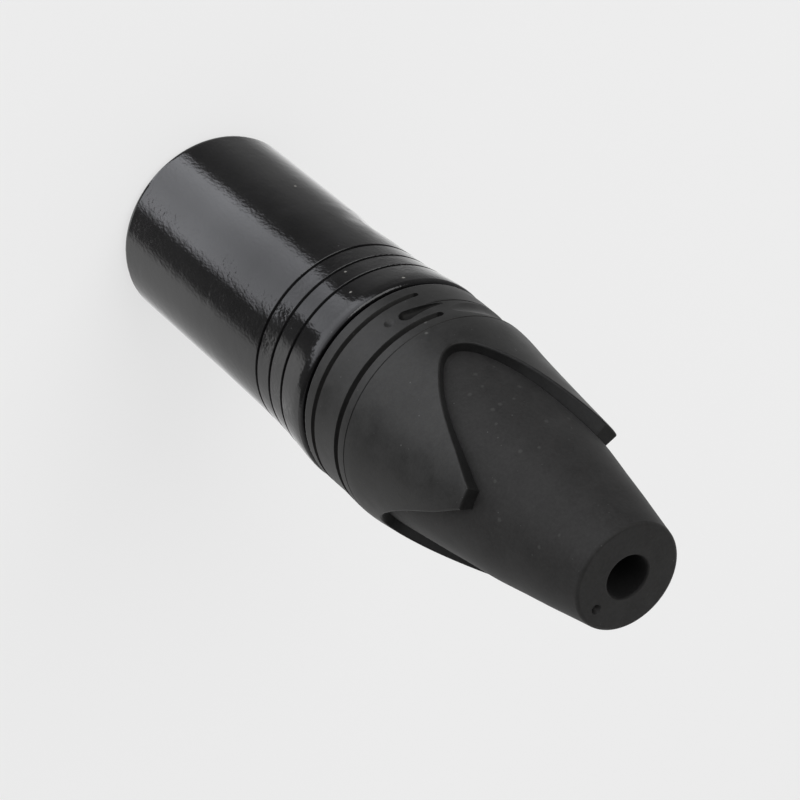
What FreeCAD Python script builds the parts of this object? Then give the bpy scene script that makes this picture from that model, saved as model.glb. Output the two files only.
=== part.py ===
import FreeCAD, Part
import os, math

# Cable-mount male XLR plug, three contacts.
# Millimetres.  Origin: centre of the front rim of the mating end, on the plane of the rim.
# +Z runs along the axis from the mating end to the cable end.  -Y is the keyed side.
# The plug stands on its front rim.

V = FreeCAD.Vector
os.makedirs("parts", exist_ok=True)

# ------------------------------------------------------------------ driving sizes
LEN = 70.45              # overall length, front rim to the cable end of the sleeve
# shell
R_FRONT = 9.76           # outer radius of the mating end
R_CAV = 8.2              # bore of the mating cavity
Z_CAV = 15.0             # depth of the mating cavity
R_LEDGE = 7.7            # bore of the ledge that seats the insert
LEDGE = 0.8
R_BORE = 8.1             # bore behind the ledge, up to the rear end of the neck
Z_SHOULDER = 34.75       # rear face of the visible part of the shell
R_NECK = 9.0             # root radius of the neck thread
R_THREAD = 9.32          # crest radius of the neck thread
Z_NECK = 42.0            # rear end of the neck
PITCH = 1.0              # thread pitch
GROOVES = (25.79, 28.28, 30.74)
Z_TUBE = 16.0        # the mating end is a true cylinder up to here
SHELL_PROFILE = [(9.76, 16.0), (9.79, 18.5), (9.83, 22.0), (9.91, 25.6),
                 (10.03, 28.1), (10.22, 30.4), (10.44, 32.4), (10.57, 33.8), (10.58, 34.3)]
KEY_W, KEY_R, KEY_Z0 = 2.4, 7.3, 1.8     # key rib inside the cavity
SLOT_W, SLOT_R = 1.6, 8.5                # alignment slot behind the ledge
# contacts
PCR = 3.81               # radius of the contact circle
R_PIN = 1.195            # contact radius (2.39 mm)
R_SHANK = 1.6            # shank inside the insert
Z_SHANK = 14.65          # front end of the shank
Z_TIP = 2.6              # contact tips behind the rim
PIN_XY = {1: (-PCR, 0.0), 2: (PCR, 0.0), 3: (0.0, PCR)}
# insert
Z_INS0, Z_INS1, Z_INS2 = 15.1, 21.5, 26.0
R_INS = 8.05
# strain relief chuck
Z_CH0, Z_CH1 = 26.05, 49.6
R_CH = 7.95
# boot
Z_BOOT = 35.1
R_BOOT_BORE = 9.42
Z_CORE = 42.5            # front end of the soft core
Z_TOOTH = 57.7           # tips of the three teeth of the hard boot
BOOT_PROFILE = [(10.5, 35.5), (10.52, 36.6), (10.51, 38.5), (10.56, 40.1), (10.62, 41.5), (10.59, 42.7),
                (10.44, 44.1), (10.23, 45.7), (10.01, 47.6), (9.75, 50.1), (9.47, 52.9),
                (9.21, 55.6), (8.94, 58.4)]
CORE_PROFILE = [(9.42, 44.6), (9.2, 46.3), (8.92, 48.3), (8.6, 50.6), (8.2, 53.4), (7.8, 56.2),
                (7.47, 58.6), (6.91, 61.6), (6.25, 65.2), (5.69, 68.0), (5.27, 70.17)]
R_CABLE = 2.1            # cable hole at the end of the sleeve
WIN_CENTRE = (-123.7, -3.7, 116.3)       # directions of the three windows, degrees from +X
# half width of a window in degrees against height
WINDOW = [(45.2, 0.0), (45.35, 4.3), (45.8, 8.9), (46.9, 14.9), (48.2, 20.6), (49.7, 26.3),
          (52.4, 35.0), (55.2, 44.0), (58.0, 54.6), (60.5, 59.9)]
RING_GROOVES = ((36.75, 0.52, 0.40), (40.8, 0.64, 0.48))    # height, width, depth
GAP_CENTRE = 176.3       # middle of the plain part of the ring, degrees from +X
GAP_HALF = 51.5
DROP_MID, DROP_Z = 54.6, 39.08  # drop-shaped recess at each end of the plain part

# ------------------------------------------------------------------ helpers
def pt(r, z):
    return V(r, 0, z)

def line(a, b):
    return Part.LineSegment(pt(*a), pt(*b)).toShape()

def arc(a, m, b):
    return Part.Arc(pt(*a), pt(*m), pt(*b)).toShape()

def spline(pts):
    c = Part.BSplineCurve()
    c.interpolate([pt(*p) for p in pts])
    return c.toShape()

def path(*items):
    """items: points joined by straight lines, or ready edges given as ('e', edge, start, end)."""
    edges, last, first = [], None, None
    for it in items:
        if it[0] == 'e':
            e, a, b = it[1], it[2], it[3]
            if last is not None and math.dist(last, a) > 1e-7:
                edges.append(line(last, a))
            edges.append(e)
            if first is None:
                first = a
            last = b
        else:
            if last is not None and math.dist(last, it) > 1e-7:
                edges.append(line(last, it))
            if first is None:
                first = it
            last = it
    if math.dist(last, first) > 1e-7:
        edges.append(line(last, first))
    return Part.Wire(Part.__sortEdges__(edges))

def revolve(wire, deg=360.0, start=0.0, centre=(0, 0)):
    f = Part.Face(wire)
    s = f.revolve(V(0, 0, 0), V(0, 0, 1), deg)
    if s.Volume < 0:
        s.reverse()
    if start:
        s.rotate(V(0, 0, 0), V(0, 0, 1), start)
    if centre != (0, 0):
        s.translate(V(centre[0], centre[1], 0))
    return s

def rr(a, m, b):
    return ('e', arc(a, m, b), a, b)

def corner(a, c, b):
    """quarter-like arc from a to b bulging toward the corner c"""
    mx, mz = (a[0] + b[0]) / 2, (a[1] + b[1]) / 2
    k = 0.4142
    return rr(a, (mx + k * (c[0] - mx), mz + k * (c[1] - mz)), b)

def sp(pts):
    return ('e', spline(pts), pts[0], pts[-1])

def polar(r, deg, z=0.0):
    return V(r * math.cos(math.radians(deg)), r * math.sin(math.radians(deg)), z)

def box(x0, x1, y0, y1, z0, z1):
    return Part.makeBox(x1 - x0, y1 - y0, z1 - z0, V(x0, y0, z0))

def radial(table, z):
    """linear interpolation of r in an (r, z) table"""
    for (r0, z0), (r1, z1) in zip(table, table[1:]):
        if z0 <= z <= z1:
            return r0 + (r1 - r0) * (z - z0) / (z1 - z0)
    return table[0][0] if z < table[0][1] else table[-1][0]

def one(shape, name):
    """a single clean solid"""
    s = shape.removeSplitter()
    sol = s.Solids
    if len(sol) != 1:
        print("note", name, "solids", len(sol), [round(q.Volume, 3) for q in sol])
        sol = sorted(sol, key=lambda q: -q.Volume)
    return sol[0]

def save(shape, name):
    print(name, "valid", shape.isValid(), "solids", len(shape.Solids), "vol", round(shape.Volume, 2),
          "bb", [round(v, 2) for v in (shape.BoundBox.XMin, shape.BoundBox.YMin, shape.BoundBox.ZMin,
                                       shape.BoundBox.XMax, shape.BoundBox.YMax, shape.BoundBox.ZMax)])
    shape.exportStep("parts/" + name + ".step")

# ------------------------------------------------------------------ shell: one die casting
z_end = Z_SHOULDER
shell = revolve(path(
    (R_CAV + 0.25, 0.0), (R_FRONT - 0.95, 0.0),
    corner((R_FRONT - 0.95, 0.0), (R_FRONT, 0.0), (R_FRONT, 0.95)), (R_FRONT, Z_TUBE),
    sp(SHELL_PROFILE),
    corner((SHELL_PROFILE[-1][0], SHELL_PROFILE[-1][1]), (SHELL_PROFILE[-1][0], z_end), (SHELL_PROFILE[-1][0] - 0.45, z_end)),
    (8.78, z_end), (8.78, z_end + 0.75), (R_NECK, z_end + 0.97), (R_NECK, Z_NECK - 0.25), (R_NECK - 0.25, Z_NECK),
    (R_BORE + 0.2, Z_NECK), (R_BORE, Z_NECK - 0.2), (R_BORE, Z_CAV + LEDGE), (R_LEDGE, Z_CAV + LEDGE),
    (R_LEDGE, Z_CAV), (R_CAV, Z_CAV), (R_CAV, 0.25)))
for z in GROOVES:
    r = radial(SHELL_PROFILE, z)
    lip = [(r - 0.08 + k * (radial(SHELL_PROFILE, z - 0.36) + 0.08 - r) + 0.035 * (k > 0) * (1 - k) * 4, z - 0.14 - 0.22 * k)
           for k in (1, 0.5, 0)]
    rear = [(r - 0.08 + k * (radial(SHELL_PROFILE, z + 0.36) + 0.08 - r) + 0.035 * (1 - k) * k * 4, z + 0.14 + 0.22 * k)
            for k in (0, 0.5, 1)]
    cut = revolve(path((r + 0.6, z - 0.36), rr(*lip), (r - 0.24, z - 0.08), (r - 0.24, z + 0.08),
                       rr(*rear), (r + 0.6, z + 0.36)))
    shell = shell.cut(cut)
# key rib with the pocket that takes the catch of the mating part
key = box(-KEY_W / 2, KEY_W / 2, -(R_CAV + 0.4), -KEY_R, KEY_Z0, Z_CAV + 0.05)
shell = shell.fuse(key)
shell = shell.cut(box(-1.7, 1.7, -8.75, -7.0, 5.2, 8.6))
# alignment slot for the insert and the chuck
shell = shell.cut(box(-SLOT_W / 2, SLOT_W / 2, R_BORE - 0.6, SLOT_R, Z_CAV + LEDGE, Z_NECK + 1))
shell = one(shell, "shell")

# ------------------------------------------------------------------ insert: moulded disc with walls between the cups
ins = revolve(path((0, Z_INS0), (R_LEDGE - 0.35, Z_INS0), (R_LEDGE - 0.1, Z_INS0 + 0.25), (R_LEDGE - 0.1, Z_CAV + LEDGE),
                   (R_INS, Z_CAV + LEDGE), (R_INS, Z_INS2), (7.0, Z_INS2), (7.0, Z_INS1), (0, Z_INS1)))
for a in (45.0, 135.0, 270.0):
    w = box(0, 7.3, -0.42, 0.42, Z_INS1 - 0.3, Z_INS2 + 0.9)
    w.rotate(V(0, 0, 0), V(0, 0, 1), a)
    w = w.common(Part.makeCylinder(7.3, Z_INS2 - Z_INS1 + 0.5, V(0, 0, Z_INS1 - 0.5)).fuse(
        Part.makeCylinder(6.0, Z_INS2 - Z_INS1 + 2.0, V(0, 0, Z_INS1 - 0.5))))
    ins = ins.fuse(w)
hub = Part.makeCylinder(1.1, Z_INS2 + 0.9 - Z_INS1 + 0.3, V(0, 0, Z_INS1 - 0.3))
ins = ins.fuse(hub)
for k, (x, y) in PIN_XY.items():
    ring = Part.makeCylinder(2.1, 0.35, V(x, y, Z_INS0 - 0.35)).cut(Part.makeCylinder(R_SHANK, 0.35, V(x, y, Z_INS0 - 0.35)))
    ins = ins.fuse(ring)
    ins = ins.cut(Part.makeCylinder(R_SHANK + 0.01, 20, V(x, y, 10)))
# cut-out at the side for the earth spring, and the alignment rib
ins = ins.cut(box(-9, -7.62, -1.6, 1.6, 16.6, 30)).cut(box(-9, -1.35, -2.45, 2.45, Z_INS1, 30))
rib = box(-SLOT_W / 2 + 0.1, SLOT_W / 2 - 0.1, 7.6, SLOT_R - 0.1, 17.0, 25.0)
ins = one(ins.fuse(rib), "contact_insert")

# ------------------------------------------------------------------ contacts: round nose, shaft, solder cup
def contact(x, y, z_sh):
    r = R_PIN
    s = revolve(path((0, Z_TIP), ('e', Part.Arc(pt(0, Z_TIP), pt(r * 0.62, Z_TIP + 0.26), pt(r, Z_TIP + 1.15)).toShape(),
                                  (0, Z_TIP), (r, Z_TIP + 1.15)),
                     (r, Z_SHANK), (R_SHANK, Z_SHANK + 0.12), (R_SHANK, z_sh), (1.5, z_sh), (1.5, 28.8), (1.3, 29.0), (1.12, 29.0), (1.0, 28.85), (1.0, 24.3), (0, 23.8)))
    s.translate(V(x, y, 0))
    d = V(x, y, 0).normalize()
    cutb = Part.makeBox(3.2, 4, 4, V(0.35, -2, 26.2))
    cutb.rotate(V(0, 0, 0), V(0, 0, 1), math.degrees(math.atan2(d.y, d.x)))
    cutb.translate(V(x, y, 0))
    return one(s.cut(cutb), "pin")

pins = {k: contact(x, y, Z_INS1 + (0.3 if k == 1 else 0.0)) for k, (x, y) in PIN_XY.items()}

# ------------------------------------------------------------------ earth spring: one folded strip from contact 1 to the shell
plate = box(-7.9, -5.6, -1.55, 1.55, Z_INS1, Z_INS1 + 0.3).fuse(Part.makeCylinder(2.35, 0.3, V(-PCR, 0, Z_INS1)))
plate = plate.cut(Part.makeCylinder(R_SHANK + 0.01, 2, V(-PCR, 0, Z_INS1 - 0.5)))
leg = box(-7.92, -7.63, -1.2, 1.2, 17.0, Z_INS1 + 0.3)
bump = Part.makeSphere(1.2, V(-6.9, 0, 18.4)).common(box(-8.5, -7.63, -1.2, 1.2, 17.0, 20.0))
spring = one(plate.fuse(leg).fuse(bump), "earth_spring")

# ------------------------------------------------------------------ chuck: moulded collet with four fingers and gripping teeth
z = 49.0
inner = [(4.9, Z_CH1), (4.5, 49.0)]
while z > 41.2:
    inner += [(4.5, z - 0.35), (5.0, z - 0.75), (5.0, z - 1.0), (4.5, z - 1.4)]
    z -= 1.4
inner = inner + [(4.9, z - 0.6), (6.4, 36.0), (6.4, Z_CH0 + 0.3), (6.7, Z_CH0)]
chuck = revolve(path((R_CH - 0.3, Z_CH0), (R_CH, Z_CH0 + 0.3), (R_CH, 40.6),
                     (6.45, Z_CH1 - 0.5), (5.9, Z_CH1), *inner))
for k in range(4):
    s = box(0, 9, -0.65, 0.65, 31.0, 60)
    s = s.fuse(Part.makeCylinder(0.65, 9, V(0, 0, 31.0), V(1, 0, 0)))
    s.rotate(V(0, 0, 0), V(0, 0, 1), 45 + 90 * k)
    chuck = chuck.cut(s)
rib = box(-SLOT_W / 2 + 0.1, SLOT_W / 2 - 0.1, 7.6, SLOT_R - 0.12, 27.0, 30.6)
chuck = one(chuck.fuse(rib), "chuck")

# ------------------------------------------------------------------ boot: hard shell with three windows
boot = revolve(path(
    (R_BOOT_BORE + 0.3, Z_BOOT), (BOOT_PROFILE[0][0] - 0.38, Z_BOOT),
    corner((BOOT_PROFILE[0][0] - 0.38, Z_BOOT), (BOOT_PROFILE[0][0], Z_BOOT), (BOOT_PROFILE[0][0], BOOT_PROFILE[0][1])),
    sp(BOOT_PROFILE),
    (6.0, BOOT_PROFILE[-1][1]), (6.0, Z_CORE), (R_BOOT_BORE, Z_CORE), (R_BOOT_BORE, Z_BOOT + 0.3)))

# soft core and sleeve: one moulding; its outside runs under the teeth and out to the cable end
core = revolve(path(
    (R_BOOT_BORE, Z_CORE), (R_BOOT_BORE, CORE_PROFILE[0][1]), sp(CORE_PROFILE),
    corner(CORE_PROFILE[-1], (CORE_PROFILE[-1][0] - 0.05, LEN), (CORE_PROFILE[-1][0] - 0.33, LEN)),
    (R_CABLE + 0.2, LEN),
    corner((R_CABLE + 0.2, LEN), (R_CABLE, LEN), (R_CABLE, LEN - 0.2)),
    (R_CABLE, 66.0), (2.7, 63.5), (6.35, 51.2), (8.2, Z_CORE)))
core_solid = revolve(path(
    (R_BOOT_BORE, Z_CORE - 0.0), (R_BOOT_BORE, CORE_PROFILE[0][1]), sp(CORE_PROFILE),
    (0, CORE_PROFILE[-1][1]), (0, Z_CORE)))
boot = boot.cut(core_solid)

def window(centre):
    """cutter with radial walls: an arch on two coaxial cylinders joined by ruled faces, open toward the cable end"""
    pts = [(-h, z) for z, h in reversed(WINDOW)] + [(h, z) for z, h in WINDOW[1:]]
    wires = []
    for r in (6.5, 12.0):
        c = Part.BSplineCurve()
        c.interpolate([polar(r, centre + a, z) for a, z in pts])
        wires.append(c.toShape())
    a, b = wires
    wall = Part.makeRuledSurface(a, b)
    zt = WINDOW[-1][0]
    h = WINDOW[-1][1]
    arcs = [Part.Arc(polar(r, centre - h, zt), polar(r, centre, zt), polar(r, centre + h, zt)).toShape() for r in (6.5, 12.0)]
    top = Part.makeRuledSurface(arcs[0], arcs[1])
    caps = []
    for r, e, ar in ((6.5, a, arcs[0]), (12.0, b, arcs[1])):
        caps.append(Part.makeFilledFace([e, ar]))
    sh = Part.makeShell([wall, top] + caps)
    sh.sewShape()
    s = Part.makeSolid(sh.Shells[0] if sh.Shells else sh)
    if s.Volume < 0:
        s.reverse()
    return s

for cdeg in WIN_CENTRE:
    boot = boot.cut(window(cdeg))
boot = boot.common(Part.makeCylinder(13, Z_TOOTH))

# ring grooves, with a plain stretch between their ends
g_start = GAP_CENTRE + GAP_HALF
g_len = 360 - 2 * GAP_HALF
for z, w, d in RING_GROOVES:
    r = radial(BOOT_PROFILE, z)
    prof = path((r + 0.6, z - w / 2 - 0.06), (r + 0.03, z - w / 2 - 0.06), (r - 0.08, z - w / 2), (r - d, z - w / 4),
                (r - d, z + w / 4), (r - 0.08, z + w / 2), (r + 0.03, z + w / 2 + 0.06), (r + 0.6, z + w / 2 + 0.06))
    boot = boot.cut(revolve(prof, g_len, g_start))
    for a in (g_start, g_start + g_len):
        c = Part.makeCylinder(w / 2, 2.0, polar(r - d, a, z), polar(1, a, 0))
        boot = boot.cut(c)
# moulding line behind the ring
r = radial(BOOT_PROFILE, 42.15)
boot = boot.cut(revolve(path((r + 0.4, 42.07), (r + 0.02, 42.07), (r - 0.07, 42.15), (r + 0.02, 42.23), (r + 0.4, 42.23))))
# shallow scallop in the plain stretch: an eccentric ring cut that runs out at both ends
ecc = 1.15
cx, cy = -ecc * math.cos(math.radians(GAP_CENTRE)), -ecc * math.sin(math.radians(GAP_CENTRE))
rk = 10.54 - 0.26 + ecc
sc = path((rk + 1.5, 38.3), (rk + 0.36, 38.4),
          ('e', arc((rk + 0.30, 38.5), (rk, 40.2), (rk + 0.30, 41.9)), (rk + 0.30, 38.5), (rk + 0.30, 41.9)), (rk + 1.5, 42.0))
boot = boot.cut(revolve(sc, centre=(cx, cy)))
# fine line along the front of the scallop
r = radial(BOOT_PROFILE, 38.68)
fine = path((r + 0.5, 38.58), (r + 0.02, 38.58), (r - 0.09, 38.68), (r + 0.02, 38.78), (r + 0.5, 38.78))
boot = boot.cut(revolve(fine, 104, GAP_CENTRE - 52))
# drop-shaped run-outs at both ends of the plain stretch
for sgn in (1, -1):
    mid = GAP_CENTRE + sgn * DROP_MID
    r = 10.51
    base = polar(r - 0.12, mid, DROP_Z)
    tang = V(-math.sin(math.radians(mid)), math.cos(math.radians(mid)), 0) * (-sgn)
    start = base - tang * 1.9
    cone = Part.makeCone(0.73, 0.12, 3.8, start, tang)
    cone = cone.fuse(Part.makeSphere(0.73, start))
    boot = boot.cut(cone.common(Part.makeCylinder(12, 6, V(0, 0, 36))))
    # shallow dent beside the wide end
    boot = boot.cut(Part.makeSphere(0.9, polar(r + 0.74, GAP_CENTRE + sgn * 74.0, 38.75)))
boot = one(boot, "boot_shell")

# round the outer edges of the windows
def on_window(e):
    for t in (0.2, 0.5, 0.8):
        p = e.valueAt(e.FirstParameter + t * (e.LastParameter - e.FirstParameter))
        rad = math.hypot(p.x, p.y)
        if p.z < 44.9 or abs(rad - radial(BOOT_PROFILE, min(p.z, 58.39))) > 0.06:
            return False
    return True

edges = [e for e in boot.Edges if on_window(e)]
print("window edges", len(edges), [round(e.Length, 2) for e in edges])
boot = one(boot.makeFillet(0.2, edges), "boot_shell")
# small dimple in the end face
d = polar(3.8, -6.5)
core = core.cut(Part.makeCone(0.2, 0.5, 0.5, V(d.x, d.y, LEN - 0.47)))
core = one(core, "boot_sleeve")

save(shell, "shell")
save(ins, "contact_insert")
for k in (1, 2, 3):
    save(pins[k], "contact_pin_%d" % k)
save(spring, "earth_spring")
save(chuck, "strain_relief_chuck")
save(boot, "boot_shell")
save(core, "boot_sleeve")
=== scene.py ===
import math

import bpy
import bmesh
from mathutils import Matrix, Vector


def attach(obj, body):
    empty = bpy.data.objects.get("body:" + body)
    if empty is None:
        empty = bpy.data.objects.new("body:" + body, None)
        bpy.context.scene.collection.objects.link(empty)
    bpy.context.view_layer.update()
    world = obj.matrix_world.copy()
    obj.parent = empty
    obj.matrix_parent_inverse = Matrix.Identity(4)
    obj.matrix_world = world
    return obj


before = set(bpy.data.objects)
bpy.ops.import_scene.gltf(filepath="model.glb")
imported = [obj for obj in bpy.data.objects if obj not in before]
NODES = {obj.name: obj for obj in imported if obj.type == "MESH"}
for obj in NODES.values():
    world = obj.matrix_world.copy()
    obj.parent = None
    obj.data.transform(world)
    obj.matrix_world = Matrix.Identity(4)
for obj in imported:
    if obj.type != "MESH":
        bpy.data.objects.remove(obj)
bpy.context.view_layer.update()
MM = 0.001

# ------------------------------------------------------------------ camera: the photograph's angle
cam_data = bpy.data.cameras.new("camera")
cam = bpy.data.objects.new("camera", cam_data)
bpy.context.scene.collection.objects.link(cam)
cam_data.sensor_fit = "HORIZONTAL"
cam_data.sensor_width = 36.0
cam_data.lens = 162.0
cam_data.clip_start = 0.01
cam_data.clip_end = 20.0
right = Vector((-0.645101, 0.543356, 0.537223))
up = Vector((-0.764091, -0.455787, -0.456535))
back = Vector((-0.003202, -0.704999, 0.709201))
pos = Vector((0.0, -230.7103, 268.1195)) * MM
rot = Matrix((right, up, back)).transposed().to_4x4()
cam.matrix_world = Matrix.Translation(pos) @ rot
bpy.context.scene.camera = cam


# ------------------------------------------------------------------ node helpers
class Tree:
    """a small builder for node materials"""

    def __init__(self, name, world=False):
        if world:
            self.owner = bpy.data.worlds.new(name)
        else:
            self.owner = bpy.data.materials.new(name)
        self.owner.use_nodes = True
        self.t = self.owner.node_tree
        self.t.nodes.clear()

    def n(self, kind, **inputs):
        node = self.t.nodes.new(kind)
        for k, v in inputs.items():
            if k.startswith("_"):
                setattr(node, k[1:], v)
            else:
                self.put(node.inputs[k.replace("__", " ")], v)
        return node

    def put(self, socket, v):
        if isinstance(v, bpy.types.NodeSocket):
            self.t.links.new(v, socket)
        elif isinstance(v, (tuple, list)) and socket.type == "RGBA" and len(v) == 3:
            socket.default_value = (*v, 1.0)
        else:
            socket.default_value = v

    def math(self, op, a, b=None, c=None, clamp=False):
        node = self.t.nodes.new("ShaderNodeMath")
        node.operation = op
        node.use_clamp = clamp
        for i, v in enumerate((a, b, c)):
            if v is not None:
                self.put(node.inputs[i], v)
        return node.outputs[0]

    def noise(self, vec, scale, detail=2.0, rough=0.5, distortion=0.0):
        node = self.t.nodes.new("ShaderNodeTexNoise")
        self.put(node.inputs["Vector"], vec)
        node.inputs["Scale"].default_value = scale
        node.inputs["Detail"].default_value = detail
        node.inputs["Roughness"].default_value = rough
        node.inputs["Distortion"].default_value = distortion
        return node.outputs["Fac"]

    def cells(self, vec, scale, feature="F1", rnd=1.0):
        node = self.t.nodes.new("ShaderNodeTexVoronoi")
        node.feature = feature
        self.put(node.inputs["Vector"], vec)
        node.inputs["Scale"].default_value = scale
        node.inputs["Randomness"].default_value = rnd
        return node

    def ramp(self, fac, stops, interp="LINEAR"):
        node = self.t.nodes.new("ShaderNodeValToRGB")
        node.color_ramp.interpolation = interp
        e = node.color_ramp.elements
        while len(e) > 1:
            e.remove(e[-1])
        e[0].position = stops[0][0]
        e[0].color = self._c(stops[0][1])
        for p, c in stops[1:]:
            q = e.new(p)
            q.color = self._c(c)
        self.put(node.inputs["Fac"], fac)
        return node.outputs["Color"]

    @staticmethod
    def _c(c):
        return (c, c, c, 1.0) if isinstance(c, (int, float)) else (*c, 1.0)

    def mix(self, fac, a, b, mode="MIX"):
        node = self.t.nodes.new("ShaderNodeMix")
        node.data_type = "RGBA"
        node.blend_type = mode
        self.put(node.inputs[0], fac)
        self.put(node.inputs[6], a)
        self.put(node.inputs[7], b)
        return node.outputs[2]

    def range(self, v, a, b, c, d):
        node = self.t.nodes.new("ShaderNodeMapRange")
        node.clamp = True
        for i, q in enumerate((v, a, b, c, d)):
            self.put(node.inputs[i], q)
        return node.outputs[0]

    def bump(self, height, strength, distance, normal=None):
        node = self.t.nodes.new("ShaderNodeBump")
        node.inputs["Strength"].default_value = strength
        node.inputs["Distance"].default_value = distance
        self.put(node.inputs["Height"], height)
        if normal is not None:
            self.put(node.inputs["Normal"], normal)
        return node.outputs["Normal"]

    def obj(self, scale=1000.0):
        """object coordinates in millimetres"""
        tc = self.t.nodes.new("ShaderNodeTexCoord")
        m = self.t.nodes.new("ShaderNodeMapping")
        m.inputs["Scale"].default_value = (scale, scale, scale)
        self.t.links.new(tc.outputs["Object"], m.inputs["Vector"])
        return m.outputs["Vector"]

    def outward(self):
        """how far the surface faces away from the plug's axis: 1 on the outside, 0 on walls and end faces"""
        tc = self.t.nodes.new("ShaderNodeTexCoord")
        flat = self.n("ShaderNodeVectorMath", _operation="MULTIPLY")
        self.put(flat.inputs[0], tc.outputs["Object"])
        flat.inputs[1].default_value = (1.0, 1.0, 0.0)
        unit = self.n("ShaderNodeVectorMath", _operation="NORMALIZE")
        self.put(unit.inputs[0], flat.outputs[0])
        dot = self.n("ShaderNodeVectorMath", _operation="DOT_PRODUCT")
        self.put(dot.inputs[0], unit.outputs[0])
        self.put(dot.inputs[1], tc.outputs["Normal"])
        return dot.outputs["Value"]

    def recess(self, v, skin, z0, z1, toward, cos_max):
        """1 in hollows below the skin radius between two heights, away from one direction about the axis"""
        flat = self.n("ShaderNodeVectorMath", _operation="MULTIPLY")
        self.put(flat.inputs[0], v)
        flat.inputs[1].default_value = (1.0, 1.0, 0.0)
        length = self.n("ShaderNodeVectorMath", _operation="LENGTH")
        self.put(length.inputs[0], flat.outputs[0])
        unit = self.n("ShaderNodeVectorMath", _operation="NORMALIZE")
        self.put(unit.inputs[0], flat.outputs[0])
        dot = self.n("ShaderNodeVectorMath", _operation="DOT_PRODUCT")
        self.put(dot.inputs[0], unit.outputs[0])
        dot.inputs[1].default_value = toward
        z = self.n("ShaderNodeSeparateXYZ")
        self.put(z.inputs[0], v)
        deep = self.range(self.math("SUBTRACT", skin, length.outputs["Value"]), 0.03, 0.3, 0.0, 1.0)
        off = self.range(dot.outputs["Value"], cos_max, cos_max + 0.06, 1.0, 0.0)
        low = self.math("GREATER_THAN", z.outputs["Z"], z0)
        high = self.math("LESS_THAN", z.outputs["Z"], z1)
        return self.math("MULTIPLY", self.math("MULTIPLY", deep, off), self.math("MULTIPLY", low, high))

    def specks(self, v, places):
        """single grains of dust at given places (x, y, z, radius in mm), as one mask"""
        total = None
        wob = self.math("MULTIPLY", self.noise(v, 6.0, 1.0), 0.12)
        for x, y, z, r in places:
            d = self.n("ShaderNodeVectorMath", _operation="DISTANCE")
            self.put(d.inputs[0], v)
            d.inputs[1].default_value = (x, y, z)
            m = self.range(self.math("ADD", d.outputs["Value"], wob), r * 0.45 + 0.06, r + 0.06, 1.0, 0.0)
            total = m if total is None else self.math("MAXIMUM", total, m)
        return total

    def shader(self, **kw):
        p = self.t.nodes.new("ShaderNodeBsdfPrincipled")
        for k, v in kw.items():
            self.put(p.inputs[k.replace("__", " ")], v)
        out = self.t.nodes.new("ShaderNodeOutputMaterial")
        self.t.links.new(p.outputs["BSDF"], out.inputs["Surface"])
        return p


def g(v):
    return (v, v, v)


# ------------------------------------------------------------------ materials
def shell_black():
    m = Tree("shell_black")
    v = m.obj()
    # orange peel in the finish: soft waves under finer, slightly slanted ripples
    slant = m.t.nodes.new("ShaderNodeMapping")
    slant.inputs["Rotation"].default_value = (0.5, 0.35, 0.4)
    slant.inputs["Scale"].default_value = (1.0, 1.0, 0.55)
    m.put(slant.inputs["Vector"], v)
    peel = m.noise(v, 0.5, 2.0, 0.5)
    ripple = m.noise(slant.outputs[0], 3.6, 1.0, 0.5)
    h = m.math("ADD", m.math("MULTIPLY", peel, 1.8), m.math("MULTIPLY", ripple, 1.1))
    nrm = m.bump(h, 1.0, 0.000013)
    smear = m.noise(v, 0.22, 4.0, 0.6)
    rough = m.range(smear, 0.35, 0.7, 0.085, 0.135)
    col = m.mix(m.range(m.noise(v, 0.35, 5.0, 0.6), 0.4, 0.7, 0.0, 1.0), (0.0075, 0.0073, 0.0077), (0.0115, 0.0112, 0.0117))
    # a little sparse dust, and single grains
    c = m.cells(v, 0.42)
    speck = m.math("LESS_THAN", c.outputs["Distance"], 0.03)
    col = m.mix(m.math("MULTIPLY", speck, 0.3), col, (0.2, 0.2, 0.2))
    single = m.specks(v, SHELL_GRAINS)
    col = m.mix(m.math("MULTIPLY", single, 0.8), col, (0.3, 0.29, 0.27))
    rough = m.math("ADD", rough, m.math("MULTIPLY", single, 0.4))
    # painted shade: walls, groove sides and end faces, which face away from the axis, are painted near black and
    # shine less
    out = m.range(m.outward(), 0.0, 0.45, 0.0, 1.0)
    col = m.mix(out, (0.004, 0.004, 0.0042), col)
    # the finish shines most near the mating end
    along = m.n("ShaderNodeSeparateXYZ")
    m.put(along.inputs[0], v)
    spec = m.math("MULTIPLY", m.range(out, 0.0, 1.0, 0.3, 0.5), m.range(along.outputs["Z"], 11.0, 20.0, 1.45, 1.0))
    m.shader(Base__Color=col, Roughness=rough, Normal=nrm, IOR=1.5, Specular__IOR__Level=spec)
    return m.owner


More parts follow.
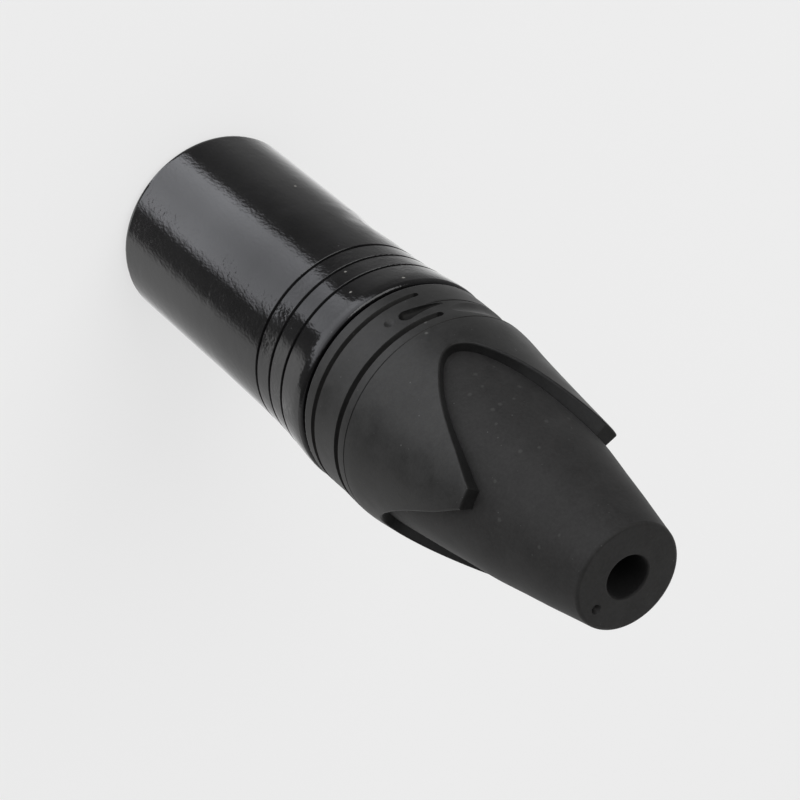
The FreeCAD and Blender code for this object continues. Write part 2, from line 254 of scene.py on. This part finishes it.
def moulded(name, base, lo, hi, rough_lo, rough_hi, grain, dust, seed, spec=0.5, wall=1.0, grains=(), pale=0.15, painted_hollow_light_shade=False, sheen=0.0):
    """moulded plastic or rubber; wall: how much of its shine and colour is left on walls, grooves and end faces under
    painted shade; hollow: painted shade in the boot's drop recesses and scallop and painted light in its grooves
    """
    m = Tree(name)
    v0 = m.obj()
    off = m.n("ShaderNodeVectorMath", _operation="ADD")
    off.inputs[1].default_value = (seed, seed * 0.7, seed * 1.3)
    m.put(off.inputs[0], v0)
    v = off.outputs[0]
    blot = m.noise(v, 0.3, 5.0, 0.68)
    fine = m.noise(v, 3.2, 4.0, 0.65)
    col = m.mix(m.range(blot, 0.3, 0.7, 0.0, 1.0), tuple(lo * b for b in base), tuple(hi * b for b in base))
    col = m.mix(m.range(fine, 0.35, 0.75, 0.0, 0.6), col, tuple(1.6 * hi * b for b in base))
    # dust: small pale specks of uneven size, thicker in some places, over a thin uneven film
    film = m.range(m.noise(v, 0.55, 5.0, 0.65), 0.48, 0.72, 0.0, 0.05 * dust)
    col = m.mix(film, col, (0.2, 0.2, 0.2))
    c = m.cells(v, 1.25)
    size = m.math("MULTIPLY", m.noise(v, 0.9, 0.0), 0.2)
    speck = m.range(m.math("SUBTRACT", m.math("SUBTRACT", size, 0.035), c.outputs["Distance"]), 0.0, 0.05, 0.0, 1.0)
    where = m.range(m.noise(v, 0.2, 2.0), 0.42, 0.62, 0.0, 1.0)
    amount = m.math("MULTIPLY", m.math("MULTIPLY", speck, where), dust)
    col = m.mix(amount, col, (0.2, 0.2, 0.2))
    if grains:
        col = m.mix(m.math("MULTIPLY", m.specks(v0, grains), pale), col, (0.22, 0.22, 0.215))
    h = m.math("ADD", m.math("MULTIPLY", m.noise(v, grain, 3.0, 0.6), 0.6), m.math("MULTIPLY", m.noise(v, 0.8, 2.0), 0.5))
    nrm = m.bump(h, 0.4, 0.00003)
    rough = m.range(m.noise(v, 0.5, 4.0, 0.6), 0.3, 0.7, rough_lo, rough_hi)
    # the shine is uneven too: duller where hands and dust have been
    level = m.range(m.noise(v, 0.5, 5.0, 0.7), 0.3, 0.7, 0.78 * spec, 1.22 * spec)
    out = 1.0
    # painted shade: walls, groove sides and end faces, which face away from the axis, are painted darker and shine
    # less, down to the fraction wall
    if wall < 1.0:
        out = m.range(m.outward(), 0.5, 0.985, wall, 1.0)
        if painted_hollow_light_shade:
            # painted shade: the drop-shaped recesses of the boot are painted darker and shine less
            side = math.radians(176.3)
            deep = m.recess(v0, 10.5, 37.6, 40.3, (math.cos(side), math.sin(side), 0.0), 0.64)
            out = m.math("MULTIPLY", out, m.range(deep, 0.0, 1.0, 1.0, 0.55))
            # painted light: the groove floors of the boot are painted paler
            groove_painted_light = m.recess(v0, 10.46, 36.0, 42.0, (math.cos(side), math.sin(side), 0.0), 0.64)
            groove_painted_light = m.math("SUBTRACT", groove_painted_light, deep, clamp=True)
            col = m.mix(m.math("MULTIPLY", groove_painted_light, 0.6), col, (0.05, 0.049, 0.047))
            # and the scallop on the plain side is painted darker and shines less: painted shade over its highlight
            scallop_painted_shade = m.recess(v0, 10.64, 38.4, 42.1, (-math.cos(side), -math.sin(side), 0.0), -0.7)
            out = m.math("MULTIPLY", out, m.range(scallop_painted_shade, 0.0, 1.0, 1.0, 0.3))
        col = m.mix(out, (0.0, 0.0, 0.0), col)
        level = m.math("MULTIPLY", out, level)
    # painted shade: bores are painted darker and shine less
    bore_painted_shade = m.range(m.outward(), -0.7, -0.2, 0.6, 1.0)
    col = m.mix(bore_painted_shade, (0.0, 0.0, 0.0), col)
    level = m.math("MULTIPLY", bore_painted_shade, level)
    # neutral under the cool main light
    m.shader(Base__Color=col, Roughness=rough, Normal=nrm, IOR=1.5, Specular__IOR__Level=level, Specular__Tint=(1.0, 0.985, 0.935, 1.0),
             Sheen__Weight=m.math("MULTIPLY", m.math("MULTIPLY", bore_painted_shade, sheen), out), Sheen__Roughness=0.45)
    return m.owner


def metal(name, color, rough):
    m = Tree(name)
    v = m.obj()
    f = m.noise(v, 1.2, 5.0, 0.6)
    col = m.mix(m.range(f, 0.35, 0.7, 0.0, 1.0), color, tuple(c * 0.8 for c in color))
    r = m.range(m.noise(v, 3.0, 3.0), 0.3, 0.7, rough, rough * 1.7)
    nrm = m.bump(m.noise(v, 9.0, 2.0), 0.15, 0.00002)
    m.shader(Base__Color=col, Roughness=r, Normal=nrm, Metallic=1.0)
    return m.owner


SHELL_GRAINS = ((-7.97, -5.63, 12.49, 0.16), (-7.57, -7.36, 33.71, 0.2), (-4.65, -8.97, 29.08, 0.15), (-3.51, -9.79, 32.24, 0.16))
BOOT_GRAINS = ((-5.66, -8.97, 41.21, 0.2), (-4.97, -9.36, 42.58, 0.2))
SLEEVE_GRAINS = (
    (-6.53, -6.06, 48.38, 0.18),
    (-4.95, -7.39, 48.51, 0.24),
    (-4.53, -7.39, 50.12, 0.2),
    (-3.26, -8.02, 50.19, 0.26),
    (-4.3, -7.08, 52.83, 0.24),
    (-3.54, -7.47, 52.95, 0.26),
    (-5.44, -6.24, 52.87, 0.18),
    (-6.59, -5.32, 51.55, 0.24),
    (-5.73, -5.22, 56.56, 0.26),
    (-3.55, -6.46, 59.06, 0.2),
    (-2.3, -7.14, 58.3, 0.26),
    (-7.18, -3.0, 56.33, 0.24),
    (-2.77, -7.56, 54.41, 0.2),
    (3.3, -6.22, 60.75, 0.26),
    (2.84, -5.42, 65.51, 0.24),
    (1.04, -7.39, 58.55, 0.22),
    (1.01, -5.79, 66.71, 0.2))

MATS = {
    "shell": shell_black(),
    "boot_shell": moulded("boot_plastic", (0.0105, 0.0105, 0.0107), 0.75, 1.2, 0.42, 0.55, 6.0, 0.3, 1.0, 0.385, 0.62, BOOT_GRAINS, 0.3, True, 0.04),
    "boot_sleeve": moulded("sleeve_rubber", (0.0124, 0.0121, 0.0123), 0.75, 1.2, 0.58, 0.7, 4.5, 0.34, 7.0, 0.305, 1.0, SLEEVE_GRAINS, 0.08, False, 0.05),
    "contact_insert": moulded("insert_plastic", (0.02, 0.02, 0.021), 0.85, 1.1, 0.35, 0.5, 7.0, 0.1, 13.0),
    "strain_relief_chuck": moulded("chuck_plastic", (0.022, 0.022, 0.023), 0.85, 1.1, 0.35, 0.5, 7.0, 0.1, 19.0),
    "contact_pin_1": metal("contact_metal", (0.80, 0.79, 0.76), 0.16),
    "earth_spring": metal("spring_metal", (0.62, 0.61, 0.58), 0.28),
}
MATS["contact_pin_2"] = MATS["contact_pin_3"] = MATS["contact_pin_1"]


def smooth(o, angle):
    """smooth shading that breaks at edges sharper than the angle"""
    me = o.data
    me.shade_smooth()
    me.set_sharp_from_angle(angle=math.radians(angle))


for name, o in NODES.items():
    o.data.materials.clear()
    o.data.materials.append(MATS[name])

# ------------------------------------------------------------------ screw thread between the neck and the boot
PITCH = 1.0


def helix(name, r_root, r_crest, z0, turns, phase, body, material):
    """a helical ridge, right-handed, tapering out at both ends; r_root lies just inside the wall that carries it"""
    per = 96
    n = int(turns * per)
    verts, faces = [], []
    for i in range(n + 1):
        t = i / per
        end = min(1.0, min(t, turns - t) / 0.12)
        a = 2 * math.pi * t + phase
        rc = r_root + (r_crest - r_root) * (0.1 + 0.9 * end)
        for r, dz in ((r_root, -0.40), (rc, -0.07), (rc, 0.07), (r_root, 0.40)):
            verts.append((r * math.cos(a) * MM, r * math.sin(a) * MM, (z0 + t * PITCH + dz * (0.3 + 0.7 * end)) * MM))
    for i in range(n):
        for k in range(4):
            a, b = 4 * i + k, 4 * i + (k + 1) % 4
            faces.append((a, a + 4, b + 4, b))
    faces.append((0, 1, 2, 3))
    faces.append(tuple(4 * n + k for k in (3, 2, 1, 0)))
    me = bpy.data.meshes.new(name)
    me.from_pydata(verts, [], faces)
    bm = bmesh.new()
    bm.from_mesh(me)
    bmesh.ops.recalc_face_normals(bm, faces=bm.faces)
    bm.to_mesh(me)
    bm.free()
    o = bpy.data.objects.new(name, me)
    bpy.context.scene.collection.objects.link(o)
    me.materials.append(material)
    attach(o, body)
    return o


helix("neck_thread", 8.97, 9.30, 36.3, 5.2, 0.0, "shell_body", MATS["shell"])
helix("boot_thread", 9.45, 9.12, 35.8, 5.6, 0.0, "boot_body", MATS["boot_shell"])

# ------------------------------------------------------------------ stage, light
floor_me = bpy.data.meshes.new("floor")
S = 3.0
floor_me.from_pydata([(-S, -S, 0), (S, -S, 0), (S, S, 0), (-S, S, 0)], [], [(0, 1, 2, 3)])
floor = bpy.data.objects.new("floor", floor_me)
floor.location = (0, 0, -0.00005)
bpy.context.scene.collection.objects.link(floor)
fm = Tree("floor_paper")
paper = fm.mix(fm.noise(fm.obj(1.0), 40.0, 3.0), g(0.27), g(0.28))
fm.shader(Base__Color=paper, Roughness=0.9, Emission__Color=g(1.0), Emission__Strength=0.642)
floor_me.materials.append(fm.owner)
floor.visible_glossy = False

w = Tree("studio", world=True)
bpy.context.scene.world = w.owner
tc = w.t.nodes.new("ShaderNodeTexCoord")
sep = w.t.nodes.new("ShaderNodeSeparateXYZ")
w.t.links.new(tc.outputs["Generated"], sep.inputs[0])
# angle about the plug: 0 toward the camera side (-Y), positive toward -X, in turns
az = w.math("ARCTAN2", w.math("MULTIPLY", sep.outputs["X"], -1.0), w.math("MULTIPLY", sep.outputs["Y"], -1.0))
turn = w.math("ADD", w.math("DIVIDE", az, 2 * math.pi), 0.5)
# the cards stand at a slant: lower down they are narrower and lie further round
lowdown = w.range(sep.outputs["Z"], -0.803, -0.785, 1.0, 0.0)
slide = w.range(turn, 0.5 - 20 / 360.0, 0.5 + 40 / 360.0, -23 / 360.0, 7 / 360.0)
turn = w.math("ADD", turn, w.math("MULTIPLY", lowdown, slide))


def T(deg):
    return deg / 360.0 + 0.5


def cool(v):
    return (0.98 * v, 0.995 * v, 1.05 * v)


low = w.ramp(turn, [(0.0, 1.0), (T(-165), 0.85), (T(-150), 0.62), (T(-135), 0.52), (T(-119), 0.52), (T(-107), 0.56),
                    (T(-96), 0.64), (T(-79), 0.74), (T(-67), 0.13), (T(-43), 0.13), (T(-40), 0.16), (T(-30), cool(1.98)), (T(-18), cool(1.88)),
                    (T(0), cool(1.70)), (T(15), cool(1.82)), (T(36), cool(2.25)), (T(46), 0.18), (T(52), 0.13), (T(60), 0.135), (T(68), 0.155),
                    (T(76), 0.19), (T(85), 0.23), (T(94), 0.28), (T(105), 0.29), (T(117), 0.31), (T(131), 0.47),
                    (T(145), 0.78), (T(155), 0.95), (T(168), 1.05), (1.0, 1.0)])
# the studio is brighter near the horizon than overhead
dome = w.range(sep.outputs["Z"], 0.15, 0.9, 1.0, 0.3)
sky = w.n("ShaderNodeBackground", Color=g(1.0), Strength=w.math("MULTIPLY", dome, 0.95))
sides = w.math("ADD", w.range(turn, 0.5 - 75 / 360.0, 0.5 - 50 / 360.0, 0.4, -0.24), w.range(turn, 0.5 + 48 / 360.0, 0.5 + 62 / 360.0, 0.0, 0.5))
gain = w.math("ADD", 1.0, w.math("MULTIPLY", lowdown, sides))
cards = w.n("ShaderNodeBackground", Color=low, Strength=w.math("MULTIPLY", dome, gain))
lp = w.t.nodes.new("ShaderNodeLightPath")
mixs = w.t.nodes.new("ShaderNodeMixShader")
w.t.links.new(lp.outputs["Is Glossy Ray"], mixs.inputs[0])
w.t.links.new(sky.outputs[0], mixs.inputs[1])
w.t.links.new(cards.outputs[0], mixs.inputs[2])
wo = w.t.nodes.new("ShaderNodeOutputWorld")
# seen directly, above the far edge of the floor, the studio has the tone of the floor
plain = w.n("ShaderNodeBackground", Color=g(1.0), Strength=0.835)
seen = w.t.nodes.new("ShaderNodeMixShader")
w.t.links.new(lp.outputs["Is Camera Ray"], seen.inputs[0])
w.t.links.new(mixs.outputs[0], seen.inputs[1])
w.t.links.new(plain.outputs[0], seen.inputs[2])
w.t.links.new(seen.outputs[0], wo.inputs["Surface"])


def area(name, at, aim, size, watts):
    d = bpy.data.lights.new(name, "AREA")
    d.shape = "DISK"
    d.size = size
    d.energy = watts
    o = bpy.data.objects.new(name, d)
    o.location = at
    o.rotation_euler = (Vector(aim) - Vector(at)).to_track_quat("-Z", "Y").to_euler()
    bpy.context.scene.collection.objects.link(o)
    return o


area("key", (-0.35, -0.25, 0.55), (0, 0, 0.035), 0.5, 1.5)
bpy.context.scene.view_settings.view_transform = "Standard"
